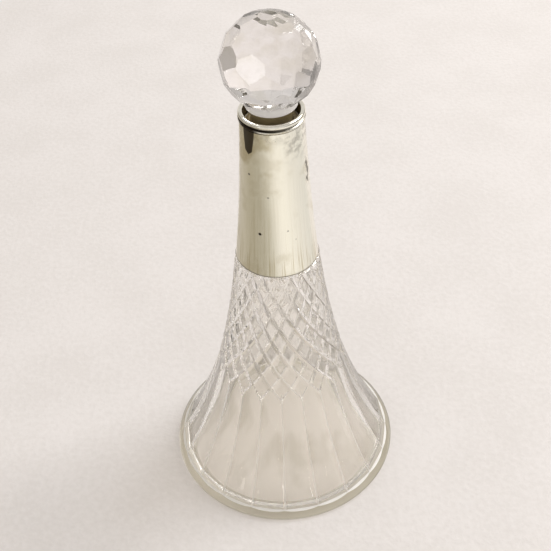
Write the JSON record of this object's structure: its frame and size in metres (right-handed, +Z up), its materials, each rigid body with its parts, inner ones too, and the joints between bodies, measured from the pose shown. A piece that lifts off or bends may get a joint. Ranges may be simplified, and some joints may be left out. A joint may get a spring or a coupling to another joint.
{
  "type": "perfume bottle",
  "caption": "Flared cut-glass scent bottle with a fluted foot, diamond-cut upper body, tapered silver neck and a lift-out faceted ball stopper.",
  "frame": {"origin": "centre of the foot, on the surface the bottle stands on", "axes": "+Z up along the axis of the bottle; -Y is the side that faces the viewer"},
  "size_m": [0.09, 0.09, 0.193],
  "materials": {
    "bottle_glass": "clear cut lead glass, polished",
    "sleeve_silver": "worn polished silver, lightly tarnished, with a few small pits",
    "rim_silver": "worn polished silver, dark with tarnish inside the mouth",
    "bedding_plaster": "dry off-white plaster",
    "stopper_glass": "clear faceted lead glass, polished, ground on the plug"
  },
  "bodies": {
    "bottle": {"bottle_body": "bottle_glass", "neck_sleeve": "sleeve_silver", "mouth_rim": "rim_silver", "sleeve_bedding": "bedding_plaster"},
    "stopper": {"stopper": "stopper_glass"}
  },
  "joints": [
    {"name": "stopper_lift", "type": "slide", "parent": "bottle", "child": "stopper", "axis": [0, 0, 1], "range_m": [0, 0.035]}
  ]
}
